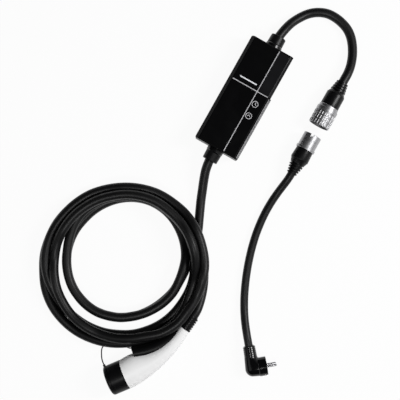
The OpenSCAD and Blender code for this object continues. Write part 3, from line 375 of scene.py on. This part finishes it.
def speckle(tree, where, scale, detail=3.0):
    """A noise value from 0 to 1 at these coordinates."""
    node = tree.nodes.new("ShaderNodeTexNoise")
    tree.links.new(where, node.inputs["Vector"])
    if isinstance(scale, (int, float)):
        node.inputs["Scale"].default_value = scale
    else:
        tree.links.new(scale, node.inputs["Scale"])
    node.inputs["Detail"].default_value = detail
    return node.outputs[0]


def tinted(tree, colour, amount):
    """The colour times the amount."""
    node = tree.nodes.new("ShaderNodeVectorMath")
    node.operation = "SCALE"
    tree.links.new(colour, node.inputs[0])
    tree.links.new(amount, node.inputs["Scale"])
    return node.outputs[0]


def moulded_grain():
    """Fine moulded texture with a slow cloud in colour and gloss."""
    group = bpy.data.node_groups.get("Moulded_grain")
    if group:
        return group
    group, start, end = shader_group(
        "Moulded_grain",
        [("Colour", "NodeSocketColor", (0.5, 0.5, 0.5, 1)), ("Spread", "NodeSocketFloat", 0.2),
         ("Scale", "NodeSocketFloat", 1500.0), ("Roughness", "NodeSocketFloat", 0.5),
         ("Roughness Spread", "NodeSocketFloat", 0.1)],
        [("Colour", "NodeSocketColor"), ("Roughness", "NodeSocketFloat"), ("Height", "NodeSocketFloat")])
    where = group.nodes.new("ShaderNodeTexCoord").outputs["Object"]
    fine = speckle(group, where, start.outputs["Scale"])
    cloud = speckle(group, where, 28.0, 2.0)
    both = arithmetic(group, "SUBTRACT", arithmetic(group, "ADD", fine, cloud), 1.0)
    amount = arithmetic(group, "MULTIPLY_ADD", both, start.outputs["Spread"], 1.0)
    gloss = arithmetic(group, "SUBTRACT", cloud, 0.5)
    group.links.new(tinted(group, start.outputs["Colour"], amount), end.inputs["Colour"])
    group.links.new(arithmetic(group, "MULTIPLY_ADD", gloss, start.outputs["Roughness Spread"],
                               start.outputs["Roughness"]), end.inputs["Roughness"])
    group.links.new(fine, end.inputs["Height"])
    return group


def lathe_marks():
    """Fine rings of a turned part, round the axis of the coupler."""
    group = bpy.data.node_groups.get("Lathe_marks")
    if group:
        return group
    group, start, end = shader_group(
        "Lathe_marks",
        [("Colour", "NodeSocketColor", (0.7, 0.7, 0.7, 1)), ("Spread", "NodeSocketFloat", 0.15),
         ("Fineness", "NodeSocketFloat", 1400.0), ("Roughness", "NodeSocketFloat", 0.3),
         ("Roughness Spread", "NodeSocketFloat", 0.15)],
        [("Colour", "NodeSocketColor"), ("Roughness", "NodeSocketFloat"), ("Height", "NodeSocketFloat")])
    where = group.nodes.new("ShaderNodeTexCoord").outputs["Object"]
    split = group.nodes.new("ShaderNodeSeparateXYZ")
    group.links.new(where, split.inputs[0])
    join = group.nodes.new("ShaderNodeCombineXYZ")
    group.links.new(arithmetic(group, "MULTIPLY", split.outputs["X"], 40.0), join.inputs["X"])
    group.links.new(arithmetic(group, "MULTIPLY", split.outputs["Y"], start.outputs["Fineness"]), join.inputs["Y"])
    group.links.new(arithmetic(group, "MULTIPLY", split.outputs["Z"], 40.0), join.inputs["Z"])
    rings = speckle(group, join.outputs[0], 1.0, 2.0)
    cloud = speckle(group, where, 60.0, 2.0)
    centred = arithmetic(group, "SUBTRACT", rings, 0.5)
    amount = arithmetic(group, "MULTIPLY_ADD", centred, start.outputs["Spread"], 1.0)
    gloss = arithmetic(group, "SUBTRACT", arithmetic(group, "MULTIPLY_ADD", rings, 0.6,
                                                     arithmetic(group, "MULTIPLY", cloud, 0.4)), 0.5)
    group.links.new(tinted(group, start.outputs["Colour"], amount), end.inputs["Colour"])
    group.links.new(arithmetic(group, "MULTIPLY_ADD", gloss, start.outputs["Roughness Spread"],
                               start.outputs["Roughness"]), end.inputs["Roughness"])
    group.links.new(rings, end.inputs["Height"])
    return group


def handling_marks():
    """Soft patches where a surface was touched, as a mask."""
    group = bpy.data.node_groups.get("Handling_marks")
    if group:
        return group
    group, start, end = shader_group(
        "Handling_marks", [("Amount", "NodeSocketFloat", 0.1), ("Scale", "NodeSocketFloat", 35.0)],
        [("Mask", "NodeSocketFloat")])
    where = group.nodes.new("ShaderNodeTexCoord").outputs["Object"]
    patch = speckle(group, where, start.outputs["Scale"], 4.0)
    ramp = group.nodes.new("ShaderNodeMapRange")
    ramp.inputs["From Min"].default_value = 0.48
    ramp.inputs["From Max"].default_value = 0.72
    group.links.new(patch, ramp.inputs["Value"])
    group.links.new(start.outputs["Amount"], ramp.inputs["To Max"])
    group.links.new(ramp.outputs["Result"], end.inputs["Mask"])
    return group


def new_finish(name):
    """A bare node material with its Principled shader."""
    material = bpy.data.materials.new(name)
    material.use_nodes = True
    shader = material.node_tree.nodes["Principled BSDF"]
    return material, material.node_tree, shader


def finish(name, group, colour, roughness, spread=0.25, gloss_spread=0.12, scale=1500.0, bump=0.05,
           relief=0.0001, specular=0.5, metallic=0.0, marks=0.0):
    """A material whose colour, gloss and relief come from one of the shared groups."""
    material, tree, shader = new_finish(name)
    node = tree.nodes.new("ShaderNodeGroup")
    node.node_tree = group
    node.inputs["Colour"].default_value = (*colour, 1)
    node.inputs["Spread"].default_value = spread
    node.inputs["Roughness"].default_value = roughness
    node.inputs["Roughness Spread"].default_value = gloss_spread
    node.inputs["Scale" if "Scale" in node.inputs else "Fineness"].default_value = scale
    tree.links.new(node.outputs["Colour"], shader.inputs["Base Color"])
    gloss = node.outputs["Roughness"]
    if marks:
        touched = tree.nodes.new("ShaderNodeGroup")
        touched.node_tree = handling_marks()
        touched.inputs["Amount"].default_value = marks
        gloss = arithmetic(tree, "ADD", gloss, touched.outputs["Mask"])
    tree.links.new(gloss, shader.inputs["Roughness"])
    relief_node = tree.nodes.new("ShaderNodeBump")
    relief_node.inputs["Strength"].default_value = bump
    relief_node.inputs["Distance"].default_value = relief
    tree.links.new(node.outputs["Height"], relief_node.inputs["Height"])
    tree.links.new(relief_node.outputs["Normal"], shader.inputs["Normal"])
    shader.inputs["Metallic"].default_value = metallic
    shader.inputs["Specular IOR Level"].default_value = specular
    return material


def light_finish(name, colour, glow):
    """A diffusing white plastic that glows a little, uneven along its length."""
    material, tree, shader = new_finish(name)
    node = tree.nodes.new("ShaderNodeGroup")
    node.node_tree = moulded_grain()
    node.inputs["Colour"].default_value = (*colour, 1)
    node.inputs["Spread"].default_value = 0.06
    node.inputs["Scale"].default_value = 300.0
    node.inputs["Roughness"].default_value = 0.4
    tree.links.new(node.outputs["Colour"], shader.inputs["Base Color"])
    tree.links.new(node.outputs["Roughness"], shader.inputs["Roughness"])
    tree.links.new(node.outputs["Colour"], shader.inputs["Emission Color"])
    shader.inputs["Emission Strength"].default_value = glow
    return material


def dress(names, material):
    """Gives CAD nodes their finish."""
    for name in names:
        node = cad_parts[name]
        node.data.materials.clear()
        node.data.materials.append(material)


def smooth_facets(names):
    """Rounds the shading of faceted CAD nodes, without a change of shape."""
    group = bpy.data.node_groups.get("Smooth_facets")
    if not group:
        group = bpy.data.node_groups.new("Smooth_facets", "GeometryNodeTree")
        group.interface.new_socket("Geometry", in_out="INPUT", socket_type="NodeSocketGeometry")
        group.interface.new_socket("Geometry", in_out="OUTPUT", socket_type="NodeSocketGeometry")
        start, end = group.nodes.new("NodeGroupInput"), group.nodes.new("NodeGroupOutput")
        weld = group.nodes.new("GeometryNodeMergeByDistance")
        weld.inputs["Distance"].default_value = 0.00001
        bend = group.nodes.new("GeometryNodeInputMeshEdgeAngle")
        sharp = group.nodes.new("FunctionNodeCompare")
        sharp.inputs[1].default_value = FACET_ANGLE
        shade = group.nodes.new("GeometryNodeSetMeshNormal")
        shade.inputs["Remove Custom"].default_value = True
        group.links.new(start.outputs[0], weld.inputs["Geometry"])
        group.links.new(bend.outputs["Unsigned Angle"], sharp.inputs[0])
        group.links.new(sharp.outputs[0], shade.inputs["Edge Sharpness"])
        group.links.new(weld.outputs["Geometry"], shade.inputs["Mesh"])
        group.links.new(shade.outputs["Mesh"], end.inputs[0])
    for name in names:
        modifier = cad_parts[name].modifiers.new("Smooth facets", "NODES")
        modifier.node_group = group


def soft_light(name, place, target, width, height, power):
    """An area light that faces the target."""
    data = bpy.data.lights.new(name, "AREA")
    data.shape = "RECTANGLE"
    data.size, data.size_y = width, height
    data.energy = power
    light = placed(name, data)
    light.location = place
    light.rotation_euler = (target - place).to_track_quat("-Z", "Y").to_euler()


def seen_directly(tree):
    """1 for rays that show the floor: straight, mirrored or through glass."""
    path = tree.nodes.new("ShaderNodeLightPath")
    seen = arithmetic(tree, "MAXIMUM", path.outputs["Is Camera Ray"], path.outputs["Is Glossy Ray"])
    return arithmetic(tree, "MAXIMUM", seen, path.outputs["Is Transmission Ray"])


def floor_finish(tint):
    """A pale matt floor that shows as white and keeps a faint shadow."""
    material = bpy.data.materials.new("Floor_pale")
    material.use_nodes = True
    tree = material.node_tree
    tree.nodes.clear()
    out = tree.nodes.new("ShaderNodeOutputMaterial")
    matt = tree.nodes.new("ShaderNodeBsdfDiffuse")
    matt.inputs["Color"].default_value = (*tint, 1)
    white = tree.nodes.new("ShaderNodeEmission")
    mix = tree.nodes.new("ShaderNodeMixShader")
    tree.links.new(arithmetic(tree, "MULTIPLY", seen_directly(tree), FLOOR_WHITE), mix.inputs["Fac"])
    tree.links.new(matt.outputs[0], mix.inputs[1])
    tree.links.new(white.outputs[0], mix.inputs[2])
    tree.links.new(mix.outputs[0], out.inputs["Surface"])
    return material


def surround(right):
    """A dim room that is lighter on the right."""
    world = bpy.data.worlds.new("Surround")
    bpy.context.scene.world = world
    world.use_nodes = True
    tree = world.node_tree
    tree.nodes.clear()
    out = tree.nodes.new("ShaderNodeOutputWorld")
    where = tree.nodes.new("ShaderNodeTexCoord").outputs["Generated"]
    lean = tree.nodes.new("ShaderNodeVectorMath")
    lean.operation = "DOT_PRODUCT"
    tree.links.new(where, lean.inputs[0])
    lean.inputs[1].default_value = right
    ramp = tree.nodes.new("ShaderNodeMapRange")
    for label, value in (("From Min", 0.15), ("From Max", 1.0), ("To Min", 0.025), ("To Max", 0.5)):
        ramp.inputs[label].default_value = value
    tree.links.new(lean.outputs["Value"], ramp.inputs["Value"])
    room = tree.nodes.new("ShaderNodeBackground")
    room.inputs["Color"].default_value = (1, 1, 1, 1)
    tree.links.new(ramp.outputs["Result"], room.inputs["Strength"])
    tree.links.new(room.outputs[0], out.inputs["Surface"])


class CHARGER_OT_camera(bpy.types.Operator):
    """Sets the camera straight above the laid-out charger"""
    bl_idname = "charger.camera"
    bl_label = "Camera"

    def execute(self, context):
        stage = context.scene.charger_stage
        data = bpy.data.cameras.new("Camera")
        data.lens = stage.lens
        data.sensor_width = 36
        data.clip_end = 50
        camera = placed("Camera", data)
        camera.location = (CENTRE.x, CENTRE.y, stage.camera_height)
        camera.rotation_euler = (0, 0, stage.turn)
        context.scene.camera = camera
        return {"FINISHED"}


class CHARGER_OT_boots(bpy.types.Operator):
    """Turns the ribbed boots of the coupler and the adapter, and finishes the connector's boot"""
    bl_idname = "charger.boots"
    bl_label = "Ribbed boots"

    def execute(self, context):
        rubber = finish("Boot_rubber", moulded_grain(), RUBBER_BLACK, 0.32, scale=1300.0, bump=0.08, specular=0.22)
        dress(("connector_boot",), rubber)
        for name, node, body, way, sizes in (
                ("coupler_ribbed_boot", "coupler_boot", "charger", 1, COUPLER_BOOT),
                ("adapter_ribbed_boot", "adapter_boot", "adapter", -1, ADAPTER_BOOT)):
            boot = turned_boot(name, node, way, boot_profile(*sizes))
            boot.data.materials.append(rubber)
            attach(boot, body)
            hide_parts(node)
        return {"FINISHED"}


class CHARGER_OT_cords(bpy.types.Operator):
    """Lays the supply lead, the adapter lead and the charging cable"""
    bl_idname = "charger.cords"
    bl_label = "Cords"

    def execute(self, context):
        cords = context.scene.charger_cords
        finishes = context.scene.charger_finishes
        jacket = finish("Cable_jacket", moulded_grain(), finishes.jacket_colour, 0.42, gloss_spread=0.06,
                        scale=900.0, bump=0.06, specular=0.27)
        laid = (
            ("supply_cord", SUPPLY_ROUTE, cords.cable_radius, "charger", ("supply_lead",),
             (0, 0.136, 0.025), "connector", "loose", SUPPLY_END),
            ("adapter_cord", ADAPTER_ROUTE, cords.lead_radius, "adapter", ("adapter_lead",),
             (0.150, -0.080, 0.0212), "plug", "loose", ADAPTER_END),
            ("charging_cord", CABLE_RUN + CABLE_COIL + CABLE_TAIL, cords.cable_radius, "charger",
             ("cable_run", "cable_coil", "cable_tail"), (0, -0.136, 0.025), "connector", "coiled", CABLE_END),
        )
        for name, route, radius, body, nodes, leaves, far_end, lay, ends in laid:
            line = route_metres(route, cords.spacing)
            cord = cord_curve(name, line, radius)
            cord.data.materials.append(jacket)
            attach(cord, body)
            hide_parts(*nodes)
        return {"FINISHED"}


class CHARGER_OT_tether(bpy.types.Operator):
    """Lays the thin tether from the grip to the cap's lug"""
    bl_idname = "charger.tether"
    bl_label = "Cap tether"

    def execute(self, context):
        radius = context.scene.charger_cords.tether_radius
        line = route_metres(TETHER_ROUTE, 0.0012)
        tether = cord_tube("tether_cord", line, radius)
        tether.data.materials.append(finish(
            "Tether_rubber", moulded_grain(), (0.004, 0.004, 0.0044), 0.5, scale=2500.0, specular=0.3))
        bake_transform(tether)
        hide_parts("cap_tether")
        return {"FINISHED"}


class CHARGER_OT_box(bpy.types.Operator):
    """Finishes the control box, outside and inside"""
    bl_idname = "charger.box"
    bl_label = "Control box"

    def execute(self, context):
        colours = context.scene.charger_finishes
        grain = moulded_grain()
        dress(("rear_cover", "front_cover"), finish(
            "Cover_plastic", grain, colours.case_colour, 0.36, scale=1800.0, bump=0.12, specular=0.06))
        dress(("main_panel", "key_panel", "timer_key", "mode_key"), finish(
            "Panel_gloss", grain, colours.panel_colour, 0.22, gloss_spread=0.05, bump=0.02, specular=0.16,
            marks=0.06))
        dress(("display_window",), finish(
            "Window_smoke", grain, colours.panel_colour, 0.12, gloss_spread=0.04, bump=0.0, specular=0.5,
            marks=0.05))
        dress(("corner_panel",), finish(
            "Corner_plastic", grain, colours.corner_colour, 0.22, scale=1700.0, bump=0.06, specular=0.40))
        dress(("front_trim",), finish(
            "Trim_satin", lathe_marks(), colours.trim_colour, 0.34, scale=900.0, metallic=0.45, bump=0.05))
        dress(("side_trim",), finish(
            "Side_trim_satin", lathe_marks(), (0.50, 0.50, 0.51), 0.34, scale=900.0, metallic=0.45, bump=0.05))
        dress(("light_bar",), light_finish("Light_diffuser", (0.80, 0.82, 0.85), 0.15))
        dress(("seam_seal",), finish("Seal_rubber", grain, (0.008, 0.008, 0.008), 0.6, specular=0.3))
        dress(("supply_collar", "output_collar"), finish(
            "Gland_gloss", grain, (0.0030, 0.0030, 0.0034), 0.20, gloss_spread=0.06, bump=0.03, marks=0.08))
        dress(("supply_sleeve", "output_sleeve"), finish(
            "Sleeve_rubber", grain, (0.0036, 0.0036, 0.0040), 0.36, scale=1200.0, bump=0.10, specular=0.22))
        dress(("control_board", "power_board"), finish(
            "Board_mask", grain, (0.02, 0.12, 0.05), 0.35, spread=0.3, scale=400.0, bump=0.05))
        dress(("display_module", "relays", "current_sensor", "transformer", "capacitors", "terminal_blocks"),
              finish("Component_resin", grain, (0.03, 0.03, 0.035), 0.45, scale=900.0, bump=0.08))
        dress(("supply_wires", "output_wires"), finish(
            "Wire_sheath", grain, (0.25, 0.12, 0.05), 0.5, spread=0.3, scale=700.0, bump=0.06))
        dress(("cover_screws",), finish(
            "Screw_steel", lathe_marks(), FASTENER_STEEL, 0.35, scale=2000.0, metallic=1.0))
        return {"FINISHED"}


class CHARGER_OT_key_marks(bpy.types.Operator):
    """Prints the ring, the clock hands and the up mark on the keys"""
    bl_idname = "charger.key_marks"
    bl_label = "Key marks"

    def execute(self, context):
        colours = context.scene.charger_finishes
        paint = finish("Mark_paint", moulded_grain(), colours.mark_colour, 0.5, spread=0.12, scale=2000.0)
        ring = [(MARK_RADIUS * math.cos(a), MARK_RADIUS * math.sin(a)) for a in (*circle_angles(64), 2 * math.pi)]
        for name, key, sign in (("timer_mark", "timer_key", CLOCK_HANDS), ("mode_mark", "mode_key", UP_ARROW)):
            low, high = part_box(key)
            middle = Vector(((low.x + high.x) / 2, (low.y + high.y) / 2, high.z))
            mark = printed_strokes(name, middle, [ring, sign], MARK_WIDTH)
            mark.data.materials.append(paint)
            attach(mark, "charger")
        return {"FINISHED"}


class CHARGER_OT_coupler(bpy.types.Operator):
    """Finishes the coupler, its nut and the adapter's silver shell"""
    bl_idname = "charger.coupler"
    bl_label = "Coupler and adapter"

    def execute(self, context):
        colours = context.scene.charger_finishes
        grain = moulded_grain()
        dress(("coupler_barrel", "coupling_nut", "adapter_shell"), finish(
            "Coupler_satin", lathe_marks(), colours.coupler_colour, 0.40, spread=0.18, gloss_spread=0.2,
            scale=1500.0, bump=0.08, metallic=1.0))
        dress(("nut_clip",), finish("Clip_steel", lathe_marks(), FASTENER_STEEL, 0.3, metallic=1.0))
        dress(("coupler_insert", "adapter_insert"), finish(
            "Insert_resin", grain, (0.010, 0.010, 0.010), 0.5, scale=1400.0, bump=0.1))
        dress(("coupler_contacts", "adapter_pins"), finish(
            "Contact_plate", lathe_marks(), (0.78, 0.60, 0.30), 0.25, metallic=1.0))
        return {"FINISHED"}


class CHARGER_OT_plug(bpy.types.Operator):
    """Finishes the angled mains plug"""
    bl_idname = "charger.plug"
    bl_label = "Mains plug"

    def execute(self, context):
        dress(("plug_body",), finish(
            "Plug_plastic", moulded_grain(), (0.0026, 0.0026, 0.0030), 0.12, gloss_spread=0.04, bump=0.03,
            specular=0.30))
        dress(("plug_pins", "earth_clips"), finish(
            "Pin_plate", lathe_marks(), (0.70, 0.70, 0.72), 0.2, metallic=1.0, bump=0.03))
        smooth_facets(("plug_body",))
        return {"FINISHED"}


class CHARGER_OT_connector(bpy.types.Operator):
    """Finishes the vehicle connector and its cap"""
    bl_idname = "charger.connector"
    bl_label = "Vehicle connector"

    def execute(self, context):
        colours = context.scene.charger_finishes
        grain = moulded_grain()
        dress(("shell_upper", "shell_lower"), finish(
            "Housing_satin", grain, colours.shell_colour, 0.34, spread=0.03, gloss_spread=0.08, scale=900.0,
            bump=0.05, specular=0.25, marks=0.08))
        dress(("connector_grip",), finish(
            "Grip_rubber", grain, RUBBER_BLACK, 0.40, scale=1600.0, bump=0.15, specular=0.12))
        dress(("connector_cap",), finish(
            "Cap_rubber", grain, RUBBER_BLACK, 0.36, scale=1300.0, bump=0.10, specular=0.12))
        dress(("contact_carrier",), finish(
            "Carrier_resin", grain, (0.012, 0.012, 0.012), 0.45, scale=1400.0, bump=0.1))
        dress(("power_contacts", "signal_contacts"), finish(
            "Contact_silver", lathe_marks(), (0.72, 0.70, 0.66), 0.25, metallic=1.0))
        dress(("carrier_seal",), finish("Seal_ring", grain, (0.02, 0.02, 0.02), 0.6, specular=0.3))
        dress(("shell_screws",), finish(
            "Housing_screw_steel", lathe_marks(), FASTENER_STEEL, 0.35, scale=2000.0, metallic=1.0))
        smooth_facets(("shell_upper", "shell_lower", "connector_grip"))
        return {"FINISHED"}


class CHARGER_OT_stage(bpy.types.Operator):
    """Builds the pale floor, the soft lights and the dim room"""
    bl_idname = "charger.stage"
    bl_label = "Stage"

    def execute(self, context):
        stage = context.scene.charger_stage
        right = Vector((math.cos(stage.turn), math.sin(stage.turn), 0))
        up = Vector((-math.sin(stage.turn), math.cos(stage.turn), 0))
        mesh = bpy.data.meshes.new("Floor")
        bm = bmesh.new()
        bmesh.ops.create_circle(bm, cap_ends=True, segments=96, radius=FLOOR_RADIUS)
        bmesh.ops.translate(bm, verts=bm.verts, vec=(CENTRE.x, CENTRE.y, -FLOOR_DROP))
        bm.to_mesh(mesh)
        bm.free()
        floor = placed("Floor", mesh)
        floor.data.materials.append(floor_finish(stage.floor_tint))
        for name, across, along, rise, width, height, power in LAMPS:
            place = CENTRE + right * across + up * along + Vector((0, 0, rise))
            soft_light(name, place, CENTRE, width, height, getattr(stage, power))
        surround(right)
        context.scene.view_settings.view_transform = "Standard"
        return {"FINISHED"}


OPERATORS = (CHARGER_OT_camera, CHARGER_OT_boots, CHARGER_OT_cords, CHARGER_OT_tether, CHARGER_OT_box,
             CHARGER_OT_key_marks, CHARGER_OT_coupler, CHARGER_OT_plug, CHARGER_OT_connector, CHARGER_OT_stage)


class CHARGER_PT_panel(bpy.types.Panel):
    """Lists the steps that dress the charger"""
    bl_idname = "CHARGER_PT_panel"
    bl_label = "Portable charger"
    bl_space_type = "VIEW_3D"
    bl_region_type = "UI"
    bl_category = "Charger"

    def draw(self, context):
        for step in OPERATORS:
            self.layout.operator(step.bl_idname)
        for settings in (context.scene.charger_cords, context.scene.charger_finishes,
                         context.scene.charger_stage):
            column = self.layout.column(align=True)
            for name in settings.__annotations__:
                column.prop(settings, name)


CLASSES = (ChargerCordSettings, ChargerFinishSettings, ChargerStageSettings, *OPERATORS, CHARGER_PT_panel)


def register():
    for cls in CLASSES:
        bpy.utils.register_class(cls)
    bpy.types.Scene.charger_cords = bpy.props.PointerProperty(type=ChargerCordSettings)
    bpy.types.Scene.charger_finishes = bpy.props.PointerProperty(type=ChargerFinishSettings)
    bpy.types.Scene.charger_stage = bpy.props.PointerProperty(type=ChargerStageSettings)


def unregister():
    del bpy.types.Scene.charger_stage
    del bpy.types.Scene.charger_finishes
    del bpy.types.Scene.charger_cords
    for cls in reversed(CLASSES):
        bpy.utils.unregister_class(cls)


def main():
    register()
    bpy.ops.charger.camera()
    bpy.ops.charger.boots()
    bpy.ops.charger.cords()
    bpy.ops.charger.tether()
    bpy.ops.charger.box()
    bpy.ops.charger.key_marks()
    bpy.ops.charger.coupler()
    bpy.ops.charger.plug()
    bpy.ops.charger.connector()
    bpy.ops.charger.stage()


if __name__ == "__main__":
    main()
